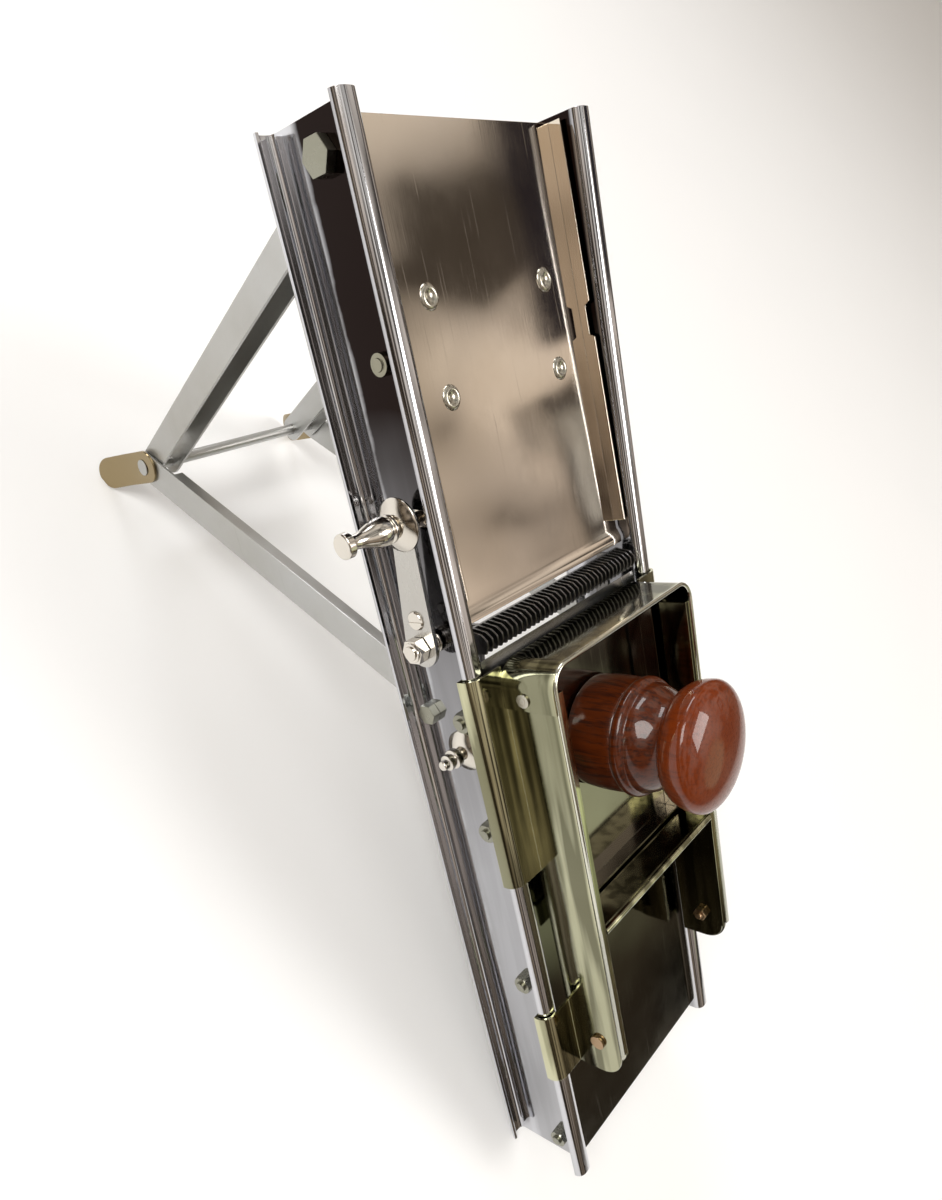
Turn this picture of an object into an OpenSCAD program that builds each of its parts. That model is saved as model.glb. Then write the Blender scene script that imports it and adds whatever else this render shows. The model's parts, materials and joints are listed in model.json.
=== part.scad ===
// French-style mandoline slicer on a folding stand, with a sliding hopper carriage.
// Everything is drawn in the frame of the rails (x across, y up the rails, z square to
// the bed, zero on top of the rail flanges) and then tipped up to stand on a table.

/* [Rails] */
// Length of the side plates along the rails
rail_l = 400; // [380:1:480]
// Clear width between the two side plates
inner_w = 101; // [92:1:124]
// Height of the side plates
rail_h = 40; // [36:1:52]
// Sheet thickness of the side plates
rail_t = 1.2; // [1:0.1:1.6]
// Radius of the rolled edges of the side plates
roll_r = 3.5; // [3:0.1:4.4]
// Flat between the two rolled corners of an edge
roll_flat = 1.6; // [1:0.1:3]

/* [Stand] */
// Distance of the stand's pivot bolts from the upper ends of the side plates
pivot_in = 11; // [9:0.5:30]
// Depth of the pivot bolts below the rail tops
pivot_z = 18.6; // [18:0.1:22]
// Distance from pivot bolt to foot axle
leg_l = 182; // [160:1:200]
// Angle of the open leg to the rails
leg_open = 65.6; // [58:0.1:72]
// Place of the prop pins up the rails
prop_y = 214.8; // [195:0.1:225]
// Depth of the prop pins below the rail tops
prop_z = 30.1; // [28:0.1:33]
// Width of a leg channel across the slicer
leg_w = 12; // [8:0.5:16]
// Depth of a leg channel
leg_d = 11; // [9:0.5:12.6]
// Depth of a strut
strut_d = 14; // [11:0.5:15]
// Sheet thickness of legs, struts and feet
stand_t = 1.2; // [1:0.1:1.5]
// Diameter of the foot axle
axle_d = 5; // [4:0.1:6]
// Reach of a foot tongue beyond the axle
foot_l = 32; // [26:1:42]
// Width of a foot tongue
foot_w = 14; // [10:1:18]
// Outward lean of a foot tongue
foot_flare = 18; // [0:1:24]

/* [Run plate] */
// Sheet thickness of the bed plates
bed_t = 1; // [0.8:0.1:1.2]
// Place of the run plate's lower lip up the rails
lip_y = 248; // [246:0.5:256]
// Depth of the run plate's lip below the rail tops at rest
lip_z = 8; // [6:0.1:9]
// Height of the run plate's side upstands
upstand_h = 5; // [3:0.1:6]
// Distance between the two pairs of rivets
rivet_pitch = 30; // [20:1:45]
// Distance of the rivets from the middle
rivet_x = 30; // [20:1:38]

/* [Thickness lever] */
// Place of the lever's pivot stud up the rails
stud_y = 243.5; // [236:0.5:250]
// Depth of the pivot stud below the rail tops
stud_z = 19.7; // [18:0.1:22]
// Place of the lever's knob up the rails
lever_knob_y = 286; // [276:0.5:300]
// Depth of the lever's knob below the rail tops
lever_knob_z = 15.6; // [15:0.1:18]
// Distance of the lever bar from the side plate
lever_gap = 5.8; // [5:0.1:7]
// Thickness of the lever bar
lever_t = 1.6; // [1.2:0.1:2]
// Diameter of the lever's dished disc
disc_d = 17.6; // [14:0.2:18]
// Height of a disc's middle over its rim
disc_h = 3.2; // [2:0.1:4]
// Length of the lever's knob
lever_knob_l = 20.5; // [16:0.5:28]

/* [Comb] */
// Place of the comb shaft up the rails
comb_shaft_y = 201.9; // [196:0.1:206]
// Depth of the comb shaft below the rail tops
comb_shaft_z = 16.1; // [15:0.1:17]
// Diameter of the comb shaft's dished disc
comb_disc_d = 15.6; // [12:0.2:16.4]
// Number of comb teeth
tooth_count = 36; // [20:1:38]
// Height of a comb tooth
tooth_h = 8; // [6:0.5:9]
// Thickness of a comb tooth
tooth_t = 0.8; // [0.6:0.1:1]
// Place of the comb's middle up the rails
comb_y = 241.6; // [241:0.1:242]

/* [Lower plate and blade] */
// Depth of the lower plate below the rail tops
lower_z = 4; // [3.6:0.1:5]
// Depth of the lower plate's side flanges
flange_d = 14; // [12:0.5:15]
// Place of the blade's edge up the rails
blade_y = 235.5; // [233:0.5:236]
// Width of the blade from its edge to its back
blade_w = 26; // [18:1:34]
// Thickness of the blade
blade_t = 1.2; // [0.8:0.1:1.6]

/* [Carriage] */
// Length of the carriage's side walls
car_l = 176; // [150:1:190]
// Place of the carriage's upper end up the rails at rest
car_y = 233; // [225:1:260]
// Outside width of the hopper
hopper_w = 92; // [76:1:96]
// Height of the hopper's rim above the rail tops
rim_h = 23.3; // [18:0.1:34]
// Length of the hopper between its end walls
hopper_l = 105; // [90:1:120]
// Sheet thickness of the carriage
car_t = 1; // [0.8:0.1:1.2]
// Running gap between carriage and rails
car_gap = 0.5; // [0.3:0.1:0.8]
// Radius of the hopper's upper corners
corner_r = 8; // [3:0.5:9]
// Length of the window in each runner
window_l = 62; // [30:1:70]
// Length of the short lower part of each runner
wing_tail = 32; // [20:1:40]

/* [Pusher knob] */
// Radius of the knob's body
knob_body_r = 22; // [16:0.5:26]
// Radius of the knob's waist
knob_waist_r = 16.3; // [10:0.1:18]
// Radius of the knob's head
knob_head_r = 24.2; // [18:0.1:30]
// Height of the knob
knob_h = 54; // [44:1:66]
// Clearance round the pusher plate
pusher_gap = 0.8; // [0.4:0.1:1.2]

/* [Fastenings] */
// Across-flats size of the plate nuts
nut_af = 7; // [5.5:0.5:8]
// Across-flats size of the pivot bolt heads
head_af = 10; // [8:0.5:11]
// Diameter of the bolts
bolt_d = 4; // [3:0.1:5]
// Running clearance of a shaft in its hole
run_fit = 0.06; // [0.02:0.01:0.1]

/* [Hidden] */
$fn = 64;
e = 0.01;

web_x = inner_w / 2;                       // inner face of a side plate
edge_x = web_x + 2 * roll_r + roll_flat;   // outer edge of a side plate
clear = 0.3;                               // gap between pieces that pass each other

// stand: foot, strut and leg lie side by side inside each side plate
pivot_y = rail_l - pivot_in;
foot_x = web_x - 1;                        // outer face of a foot
strut_x = foot_x - stand_t - 0.1;          // outer face of a strut
leg_x = strut_x - stand_t - 0.4;           // outer face of a leg
foot_y = pivot_y - leg_l * cos(leg_open);
foot_z = -pivot_z - leg_l * sin(leg_open);
strut_dy = prop_y - foot_y;
strut_dz = -prop_z - foot_z;
strut_l = norm([strut_dy, strut_dz]);
strut_a = atan2(strut_dz, strut_dy);
toe_r = foot_w / 2;
toe_z = foot_z - foot_l + toe_r;           // centre of the tongue's round end
toe_flat = 0.35;                           // flat worn on the tongue where it stands
flare_start = 15;                          // the tongue leaves the strut's plane this far down

// the slicer stands on the corners of its rails and on its two tongues
toe_reach = norm([foot_y, toe_z + rail_h]);
slope = asin((toe_r - toe_flat) / toe_reach) - atan2(toe_z + rail_h, foot_y);

// run plate
plate_top_z = -pivot_z + 7.1;              // top of the run plate over the pivot bolts
plate_a = atan2(-lip_z - plate_top_z, pivot_y - lip_y);
plate_x = web_x - 1.4;                     // outer face of the run plate's upstands
plate_end = rail_l - 2 - pivot_y;
plate_reach = pivot_y - lip_y;
rivet_y = (lip_y + pivot_y) / 2 + 0.5;     // lower pair of rivets
guide_y = rivet_y + rivet_pitch / 2 - 1;   // studs that keep the run plate central
guide_z = -13.8;

// main blade
blade_back = blade_y - blade_w;
blade_rivet_d = 3;

// thickness lever
bar_x = web_x + rail_t + lever_gap;        // inner face of the lever bar
lever_dy = lever_knob_y - stud_y;
lever_dz = stud_z - lever_knob_z;
lever_a = atan2(lever_dz, lever_dy);
lever_l = norm([lever_dy, lever_dz]);
lever_pin_d = 4;
disc_t = 0.8;                              // sheet thickness of the discs
stud_d = 5;

// comb
comb_d = 8.4;                              // width of the comb along the rails
comb_shaft_d = 6;
tooth_span = inner_w - 7;
tooth_pitch = tooth_span / (tooth_count - 1);
arm_x = web_x - 9;                         // outer face of a comb arm

// carriage
wall_x = hopper_w / 2;                     // outer face of a carriage wall
wing_z = car_gap;
runner_x = edge_x + car_gap;               // inner face of the runner's outer edge
hook_z = roll_r + car_gap;                 // depth of the runner's hook, and radius of its rolled edge
car_y0 = car_y - car_l;
back_y = car_y - hopper_l;
guide_x = wall_x - car_t - 2.2;            // outer face of a pusher guide
guide_bolt_d = 3;
guide_bolt_y = car_y0 + 16;
guide_bolt_z = 13;
corner_rivet_d = 2.4;
pusher_z = 1.6;
knob_y = (car_y + back_y) / 2 + 7;
knob_z = pusher_z + car_t + 0.8;
pusher_x = guide_x - car_t - pusher_gap;
pusher_y0 = back_y + pusher_gap + 0.2;
pusher_y1 = car_y - pusher_gap - 1.2;
knob_screw_d = 5;
screw_in = 24;                             // depth of the screw's hole in the knob

// extent of the whole slicer, for an origin under its middle
tip_x = bar_x + lever_t + disc_h + disc_t + lever_knob_l;
mid_x = (runner_x + car_t - tip_x) / 2;
mid_y = (foot_y * cos(slope) - toe_z * sin(slope) + toe_r) / 2;

steel = "gainsboro";
dark_steel = "darkgray";

// ---- placing ----
module in_place() {
    translate([-mid_x, -mid_y, rail_h * cos(slope)]) rotate([slope, 0, 0]) children();
}
// a flat outline drawn as (up the rails, height), made solid across the slicer from x0 to x1
module across(x0, x1) {
    translate([min(x0, x1), 0, 0]) rotate([90, 0, 90]) linear_extrude(abs(x1 - x0)) children();
}
// a section drawn as (across, height), made solid up the rails from y0 to y1
module along(y0, y1) {
    translate([0, y1, 0]) rotate([90, 0, 0]) linear_extrude(y1 - y0) children();
}
// a rod across the slicer from x0 to x1 at height z
module rod(x0, x1, y, z, d) {
    translate([min(x0, x1), y, z]) rotate([0, 90, 0]) cylinder(d = d, h = abs(x1 - x0));
}
// a hexagon across the slicer, such as a nut
module hex(x0, x1, y, z, af) {
    translate([min(x0, x1), y, z]) rotate([0, 90, 0]) cylinder(d = af / cos(30), h = abs(x1 - x0), $fn = 6);
}
module both_sides() {
    children();
    mirror([1, 0, 0]) children();
}
// a turned piece whose axis points away from the left side plate, from x = -x0 outwards
module turned_left(x0, y, z) {
    translate([-x0, y, z]) rotate([0, -90, 0]) rotate_extrude() children();
}
function arc(cx, cy, r, a0, a1, n) =
    [for (i = [0:n]) [cx + r * cos(a0 + (a1 - a0) * i / n), cy + r * sin(a0 + (a1 - a0) * i / n)]];

// ---- frame ----
// places of the bolts that hold the lower plate, and of the stud holes
plate_bolt_y = [prop_y - 1.2, 168.3, 96.6, 10.7];
plate_bolt_z = -lower_z - flange_d * 0.68;
side_play = 0.05;                          // between the lower plate and a side plate

module quarter_roll(cx, cz, sx, sz) {
    intersection() {
        translate([cx, cz]) difference() {
            circle(r = roll_r);
            circle(r = roll_r - rail_t);
        }
        translate([sx > 0 ? cx : cx - roll_r - 1, sz > 0 ? cz : cz - roll_r - 1]) square(roll_r + 1);
    }
}
module rolled_edge() {
    quarter_roll(-web_x - roll_r, -roll_r, 1, 1);
    translate([-web_x - roll_r - roll_flat, -rail_t]) square([roll_flat, rail_t]);
    quarter_roll(-web_x - roll_r - roll_flat, -roll_r, -1, 1);
}
module side_section() {
    translate([-web_x - rail_t, -rail_h + roll_r]) square([rail_t, rail_h - 2 * roll_r]);
    rolled_edge();
    translate([0, -rail_h]) mirror([0, 1]) rolled_edge();
}
module side_plate() {
    x0 = -web_x - rail_t - 1;
    x1 = -web_x + 1;
    difference() {
        along(0, rail_l) side_section();
        for (y = plate_bolt_y) rod(x0, x1, y, plate_bolt_z, bolt_d);
        rod(x0, x1, guide_y, guide_z, bolt_d);
        rod(x0, x1, pivot_y, -pivot_z, bolt_d + 1);
        rod(x0, x1, prop_y, -prop_z, bolt_d);
        rod(x0, x1, comb_shaft_y, -comb_shaft_z, comb_shaft_d + 2 * run_fit);
    }
}
module left_side_plate() {
    slot_w = lever_pin_d + 1.6;
    sweep = 9;
    color(steel) difference() {
        side_plate();
        rod(-web_x - rail_t - 1, -web_x + 1, stud_y, -stud_z, stud_d);
        // curved slot for the lever's pin
        across(-web_x - rail_t - 1, -web_x + 1) translate([stud_y, -stud_z]) rotate(lever_a) {
            for (a = [-sweep, sweep]) rotate(a) translate([lever_l, 0]) circle(d = slot_w);
            intersection() {
                difference() {
                    circle(r = lever_l + slot_w / 2);
                    circle(r = lever_l - slot_w / 2);
                }
                polygon([
                    [0, 0],
                    [2 * lever_l, -2 * lever_l * tan(sweep)],
                    [2 * lever_l, 2 * lever_l * tan(sweep)]]);
            }
        }
    }
}
module right_side_plate() {
    color(steel) mirror([1, 0, 0]) side_plate();
}
module lower_section() {
    x = web_x - side_play;
    difference() {
        translate([-x, -lower_z - flange_d]) square([2 * x, flange_d]);
        translate([-x + bed_t, -lower_z - flange_d - 1]) square([2 * (x - bed_t), flange_d + 1 - bed_t]);
    }
}
// the lower plate: a tray turned upside down between the side plates
module lower_plate() {
    end_y = blade_back + 8;
    color(steel) difference() {
        along(5, end_y) lower_section();
        both_sides() for (y = plate_bolt_y) rod(-web_x - 1, -web_x + 3, y, plate_bolt_z, bolt_d);
        both_sides() rod(-web_x - 1, -web_x + 3, comb_shaft_y, -comb_shaft_z, comb_shaft_d + 2);
        blade_rivet_places() cylinder(d = blade_rivet_d, h = 10, center = true);
        // room for the lever stud's head
        translate([-web_x, blade_back + 4, -lower_z - bed_t - 8]) cube([3, 20, 7]);
    }
}
// the main blade: a flat steel strip whose upper end is ground to an edge
module main_blade() {
    top = -lower_z + blade_t;
    color("silver") difference() {
        across(-web_x + 1, web_x - 1) polygon([
            [blade_back, top - blade_t], [blade_back, top - 0.3], [blade_back + 0.5, top],
            [blade_y - 8, top], [blade_y, top - blade_t * 0.7],
            [blade_y, top - blade_t * 0.85], [blade_y - 1, top - blade_t]]);
        blade_rivet_places() cylinder(d = blade_rivet_d, h = 10, center = true);
    }
}
module blade_rivet_places() {
    for (i = [-1.5:1.5]) translate([i * inner_w * 0.2376, blade_back + 4, -lower_z]) children();
}
module blade_rivets() {
    color(steel) blade_rivet_places() translate([0, 0, -bed_t - 0.7]) {
        cylinder(d = blade_rivet_d, h = bed_t + blade_t + 0.7 + 0.5);
        cylinder(d = blade_rivet_d + 2, h = 0.7);
        translate([0, 0, bed_t + blade_t + 0.7])
            cylinder(d1 = blade_rivet_d + 2, d2 = blade_rivet_d + 1, h = 0.5);
    }
}
module plate_bolts() {
    color(dark_steel) both_sides() for (y = plate_bolt_y) {
        x = -web_x + side_play + bed_t;
        rod(-web_x - rail_t - 4.6, x, y, plate_bolt_z, bolt_d);
        rod(x, x + 1.6, y, plate_bolt_z, bolt_d + 3);
    }
}
module plate_nuts() {
    x0 = -web_x - rail_t;
    color(dark_steel) both_sides() for (y = plate_bolt_y) difference() {
        intersection() {
            hex(x0, x0 - 3.4, y, plate_bolt_z, nut_af);
            translate([x0 - 3.4, y, plate_bolt_z]) rotate([0, 90, 0])
                cylinder(d1 = nut_af * 1.02, d2 = nut_af * 1.4, h = 3.4);
        }
        rod(x0 - 5, x0 + 1, y, plate_bolt_z, bolt_d);
    }
}
// studs whose flat inner heads keep the run plate central
module guide_studs() {
    x0 = -web_x - rail_t;
    color(dark_steel) both_sides() {
        rod(x0 - 3, -web_x, guide_y, guide_z, bolt_d);
        rod(x0 - 2.4, x0, guide_y, guide_z, nut_af);
        rod(-web_x, -web_x + 0.9, guide_y, guide_z, bolt_d + 3);
    }
}
// the two bolts on which the run plate and the stand's legs turn
module pivot_bolts() {
    x0 = -web_x - rail_t;
    color(dark_steel) both_sides() {
        hex(x0 - 3.6, x0, pivot_y, -pivot_z, head_af);
        rod(x0, -leg_x + leg_w + 5.2, pivot_y, -pivot_z, bolt_d + 1);
    }
}
module pivot_nuts() {
    x0 = -leg_x + leg_w + clear;
    color(dark_steel) both_sides() difference() {
        hex(x0, x0 + 3.6, pivot_y, -pivot_z, head_af - 2);
        rod(x0 - 1, x0 + 5, pivot_y, -pivot_z, bolt_d + 1);
    }
}
// pins inside the side plates that the struts hook on
module prop_pins() {
    x0 = -web_x - rail_t;
    color(dark_steel) both_sides() {
        hex(x0 - 3.4, x0, prop_y, -prop_z, nut_af);
        rod(x0, -strut_x + stand_t + 0.2, prop_y, -prop_z, bolt_d);
    }
}
module lever_stud() {
    x1 = bar_x + lever_t + 5.5;
    color("silver") {
        rod(-web_x + 2.2, -x1, stud_y, -stud_z, stud_d);
        rod(-web_x, -web_x + 2.2, stud_y, -stud_z, stud_d + 5);
    }
}
module lever_stud_nut() {
    x0 = -bar_x - lever_t - clear;
    color("silver") difference() {
        union() {
            hex(x0 - 4, x0, stud_y, -stud_z, 8);
            rod(x0 - 4.6, x0 - 4, stud_y, -stud_z, 7);
        }
        rod(x0 - 6, x0 + 1, stud_y, -stud_z, stud_d);
    }
}
// turns of the flat spring on the stud
module lever_spring() {
    turns = 4;
    x0 = web_x + rail_t;
    free = lever_gap - clear;
    wire = 1.1;
    color("silver") for (i = [0:turns - 1])
        turned_left(x0 + wire / 2 + i * (free - wire) / (turns - 1), stud_y, -stud_z)
            translate([stud_d / 2 + 1.2, 0]) circle(d = wire, $fn = 20);
}

// ---- run plate, hinged on the pivot bolts ----
module on_run_plate() {
    translate([0, pivot_y, plate_top_z]) rotate([-plate_a, 0, 0]) children();
}
module run_section() {
    translate([-plate_x, -bed_t]) square([2 * plate_x, bed_t]);
    both_walls() translate([-plate_x, -bed_t]) square([bed_t, upstand_h + bed_t]);
}
module both_walls() {
    children();
    mirror([1, 0]) children();
}
module run_plate() {
    drop = -plate_top_z;
    color(steel) difference() {
        union() {
            on_run_plate() {
                along(-plate_reach + 9, plate_end) run_section();
                // ramp and lip at the lower end
                across(-plate_x, plate_x) polygon([
                    [-plate_reach + 9, -bed_t], [-plate_reach + 9, 0], [-plate_reach + 6, 0],
                    [-plate_reach + 2.4, 1.5], [-plate_reach, 1.5], [-plate_reach, 0.5],
                    [-plate_reach + 2, 0.5], [-plate_reach + 5.6, -bed_t]]);
            }
            both_sides() across(-plate_x, -plate_x + bed_t) {
                translate([pivot_y, -pivot_z]) circle(r = 5);
                translate([pivot_y - 5, -pivot_z]) square([10, pivot_z + plate_top_z - bed_t / 2]);
            }
        }
        both_sides() rod(-plate_x - 1, -plate_x + 2, pivot_y, -pivot_z, bolt_d + 1 + 2 * run_fit);
        // notches over the guide studs
        on_run_plate() both_sides() across(-plate_x - 1, -plate_x + bed_t + 0.2)
            translate([guide_y - pivot_y, upstand_h + 1]) polygon([[-8, 2], [-5, -3], [5, -3], [8, 2]]);
        on_run_plate() rivet_places() cylinder(d = 4, h = 8, center = true);
    }
}
module rivet_places() {
    for (x = [-rivet_x, rivet_x], y = [rivet_y, rivet_y + rivet_pitch])
        translate([x, y - pivot_y, 0]) children();
}
// a shallow channel riveted under the run plate
module plate_stiffener() {
    w = leg_x - leg_w - 2 * clear;
    color(dark_steel) on_run_plate() difference() {
        across(-w, w) polygon([
            [rivet_y - pivot_y - 9, -bed_t - 6], [rivet_y - pivot_y - 9, -bed_t],
            [rivet_y - pivot_y + rivet_pitch + 9, -bed_t], [rivet_y - pivot_y + rivet_pitch + 9, -bed_t - 6],
            [rivet_y - pivot_y + rivet_pitch + 8, -bed_t - 6], [rivet_y - pivot_y + rivet_pitch + 8, -bed_t - 1],
            [rivet_y - pivot_y - 8, -bed_t - 1], [rivet_y - pivot_y - 8, -bed_t - 6]]);
        rivet_places() cylinder(d = 4, h = 8, center = true);
    }
}
module plate_rivets() {
    color("white") on_run_plate() rivet_places() {
        translate([0, 0, -bed_t - 1]) cylinder(d = 4, h = bed_t + 1);
        cylinder(d = 8, h = 0.5);
        translate([0, 0, 0.5]) cylinder(d = 5.4, h = 0.4);
        translate([0, 0, -bed_t - 1.8]) cylinder(d = 6.5, h = 0.8);
    }
}
// ear under the run plate that the lever's pin lifts
module lift_lug() {
    slot = lever_pin_d + 0.8;
    top = -lever_knob_z + 8;
    color(dark_steel) difference() {
        union() {
            across(-plate_x + bed_t + 1, -plate_x + bed_t + 2.4) difference() {
                translate([lever_knob_y - 8, -lever_knob_z - slot / 2 - 2]) square([16, slot / 2 + 9.6]);
                translate([lever_knob_y - 1.2, -lever_knob_z]) circle(d = slot);
                translate([lever_knob_y + 1.2, -lever_knob_z]) circle(d = slot);
                translate([lever_knob_y - 1.2, -lever_knob_z - slot / 2]) square([2.4, slot]);
            }
            on_run_plate() translate([-plate_x + bed_t + 1, lever_knob_y - pivot_y - 8, -bed_t - 1.4])
                cube([12, 16, 1.4]);
        }
        on_run_plate() translate([-web_x, lever_knob_y - pivot_y - 20, -bed_t]) cube([inner_w / 2, 40, 20]);
    }
}

// ---- thickness lever ----
module thickness_lever() {
    color("darkgray") difference() {
        across(-bar_x - lever_t, -bar_x) translate([stud_y, -stud_z]) rotate(lever_a) {
            circle(d = 14);
            translate([lever_l, 0]) circle(d = 9);
            polygon([[0, -7], [lever_l, -4.5], [lever_l, 4.5], [0, 7]]);
        }
        rod(-bar_x - lever_t - 1, -bar_x + 1, stud_y, -stud_z, stud_d + 2 * run_fit);
        rod(-bar_x - lever_t - 1, -bar_x + 1, lever_knob_y, -lever_knob_z, lever_pin_d);
        lever_screw_place() cylinder(d = 3.4, h = 9, center = true);
    }
}
module lever_screw_place() {
    translate([-bar_x - lever_t, stud_y + 10 * cos(lever_a), -stud_z + 10 * sin(lever_a)])
        rotate([0, -90, 0]) children();
}
// slotted screw in the lever bar
module lever_screw() {
    color("silver") lever_screw_place() difference() {
        union() {
            translate([0, 0, -lever_t - 1]) cylinder(d = 3.4, h = lever_t + 1);
            cylinder(d1 = 7, d2 = 6, h = 0.9);
        }
        translate([-5, -0.5, 0.4]) cube([10, 1, 2]);
    }
}
// saucer-shaped disc: section drawn as (radius, height)
module disc_section(bore, rim_d) {
    n = 10;
    function radius(i) = bore / 2 + (rim_d - bore) / 2 * i / n;
    function lift(r) = disc_h * (1 - pow(2 * r / rim_d, 2));
    polygon(concat([for (i = [0:n]) [radius(i), lift(radius(i))]],
                   [for (i = [n:-1:0]) [radius(i), lift(radius(i)) + disc_t]]));
}
module lever_disc() {
    color("silver") turned_left(bar_x + lever_t, lever_knob_y, -lever_knob_z) disc_section(lever_pin_d, disc_d);
}
// dark washer between the lever bar and the side plate
module lever_washer() {
    color("dimgray") difference() {
        rod(-bar_x + 2.4, -bar_x, lever_knob_y, -lever_knob_z, 10);
        rod(-bar_x - 1, -bar_x + 3.5, lever_knob_y, -lever_knob_z, lever_pin_d);
    }
}
module lever_knob() {
    l = lever_knob_l;
    color("silver") {
        turned_left(bar_x + lever_t + disc_h + disc_t, lever_knob_y, -lever_knob_z) polygon(concat(
            [[0, 0], [4.2, 0], [4.6, 0.4], [4.6, 1.6], [3.9, 2], [3.9, 2.6], [4.7, 3], [4.7, 4.4]],
            [for (i = [1:8]) let (t = i / 8) [4.7 - 2.4 * (1 - cos(180 * t)) / 2, 4.4 + (l - 9.4) * t]],
            [[2.3, l - 3.6], [3.7, l - 3], [4, l - 2.6], [4, l - 0.4], [3.6, l], [0, l]]));
        rod(-bar_x - lever_t - disc_h - disc_t, -plate_x + bed_t + 2.9, lever_knob_y, -lever_knob_z, lever_pin_d);
    }
}

// ---- julienne comb on its rocking shaft ----
module comb_shaft() {
    x0 = web_x + rail_t;
    color("silver") {
        rod(-x0 - 1, x0 + 1, comb_shaft_y, -comb_shaft_z, comb_shaft_d);
        turned_left(x0 + 1, comb_shaft_y, -comb_shaft_z) polygon([
            [0, 0], [2.2, 0], [2.2, 5.4], [3.6, 5.4], [3.6, 7.6], [2.6, 8], [2.6, 8.6], [2.9, 8.8], [2.9, 10.4],
            [1.8, 10.8], [1.8, 12.6], [1.5, 13], [0, 13]]);
    }
}
module comb_disc() {
    color("silver") turned_left(web_x + rail_t + 1, comb_shaft_y, -comb_shaft_z)
        disc_section(4.4, comb_disc_d);
}
module comb_arm() {
    across(-arm_x, -arm_x + 1.6) difference() {
        union() {
            translate([comb_shaft_y, -comb_shaft_z]) circle(r = comb_shaft_d / 2 + 2.2);
            polygon([[comb_shaft_y, -comb_shaft_z - 5.2], [comb_y + comb_d / 2, -tooth_h - 5.2],
                     [comb_y + comb_d / 2, -tooth_h - 1.2], [comb_y - comb_d / 2, -tooth_h - 1.2],
                     [comb_shaft_y, -comb_shaft_z + 2]]);
        }
        translate([comb_shaft_y, -comb_shaft_z]) circle(d = comb_shaft_d);
    }
}
module comb_arms() {
    color(dark_steel) both_sides() comb_arm();
}
// strip that carries the comb's teeth
module comb_bar() {
    w = tooth_span / 2 + 1;
    color(dark_steel) translate([-w, comb_y - comb_d / 2, -tooth_h - 1.2]) cube([2 * w, comb_d, 1.2]);
}
module comb_teeth() {
    color("gray") for (i = [0:tooth_count - 1])
        across(-tooth_span / 2 + i * tooth_pitch - tooth_t / 2, -tooth_span / 2 + i * tooth_pitch + tooth_t / 2)
            polygon([[comb_y - comb_d / 2, -tooth_h], [comb_y + comb_d / 2, -tooth_h],
                     [comb_y + comb_d / 2 - 1, -2.4], [comb_y + 1, -0.2], [comb_y - 1, -0.2],
                     [comb_y - comb_d / 2 + 0.4, -1.6]]);
}

// ---- stand ----
// the leg lies along its own y axis, from the pivot bolt down to the foot axle
module on_leg() {
    translate([0, pivot_y, -pivot_z]) rotate([180 + leg_open, 0, 0]) children();
}
module leg() {
    r = leg_d / 2;
    cheeks = [[-leg_x, -leg_x + stand_t], [-leg_x + leg_w - stand_t, -leg_x + leg_w]];
    on_leg() difference() {
        union() {
            for (c = cheeks) across(c[0], c[1]) {
                circle(r = r);
                translate([leg_l, 0]) circle(r = r);
                translate([0, -r]) square([leg_l, leg_d]);
            }
            translate([-leg_x, r + 6, r - stand_t]) cube([leg_w, leg_l - 2 * r - 16, stand_t]);
        }
        rod(-leg_x - 1, -leg_x + leg_w + 1, 0, 0, bolt_d + 1 + 2 * run_fit);
        rod(-leg_x - 1, -leg_x + leg_w + 1, leg_l, 0, axle_d);
    }
}
module left_leg() { color(dark_steel) leg(); }
module right_leg() { color(dark_steel) mirror([1, 0, 0]) leg(); }
// the strut lies along its own y axis, from the foot axle up to the prop pin
module on_strut() {
    translate([0, foot_y, foot_z]) rotate([strut_a, 0, 0]) children();
}
module strut() {
    r = strut_d / 2;
    lip = 5;
    difference() {
        on_strut() {
            across(-strut_x, -strut_x + stand_t) {
                circle(r = r);
                translate([0, -r]) square([strut_l, strut_d]);
                translate([strut_l, 0]) circle(r = r);
            }
            translate([-strut_x, 20, -r]) cube([lip, strut_l - 50, stand_t]);
        }
        rod(-strut_x - 1, -strut_x + 3, foot_y, foot_z, axle_d + 2 * run_fit);
        // hook: open on the side that leaves the prop pin when the stand folds
        across(-strut_x - 1, -strut_x + 3) translate([prop_y, -prop_z]) {
            circle(d = bolt_d + 0.7);
            polygon([[0, -bolt_d / 2 - 0.35], [25, -bolt_d / 2 - 1.4], [25, bolt_d / 2 + 2.6], [0, bolt_d / 2 + 0.35]]);
        }
    }
}
module left_strut() { color(dark_steel) strut(); }
module right_strut() { color(dark_steel) mirror([1, 0, 0]) strut(); }
module foot_axle() {
    end_x = foot_x + 0.05;
    color(dark_steel) {
        rod(-end_x, end_x, foot_y, foot_z, axle_d);
        both_sides() rod(-end_x - 0.5, -end_x, foot_y, foot_z, axle_d + 2);
    }
}
module foot_outline() {
    difference() {
        union() {
            translate([foot_y, toe_z]) circle(r = toe_r);
            translate([foot_y - toe_r, toe_z]) square([foot_w, foot_z - toe_z + 2]);
            translate([foot_y, foot_z + 2]) circle(r = toe_r);
        }
        // the flat that it stands on
        translate([0, -rail_h]) rotate(-slope) translate([0, -60]) square([2 * rail_l, 60]);
    }
}
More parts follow.
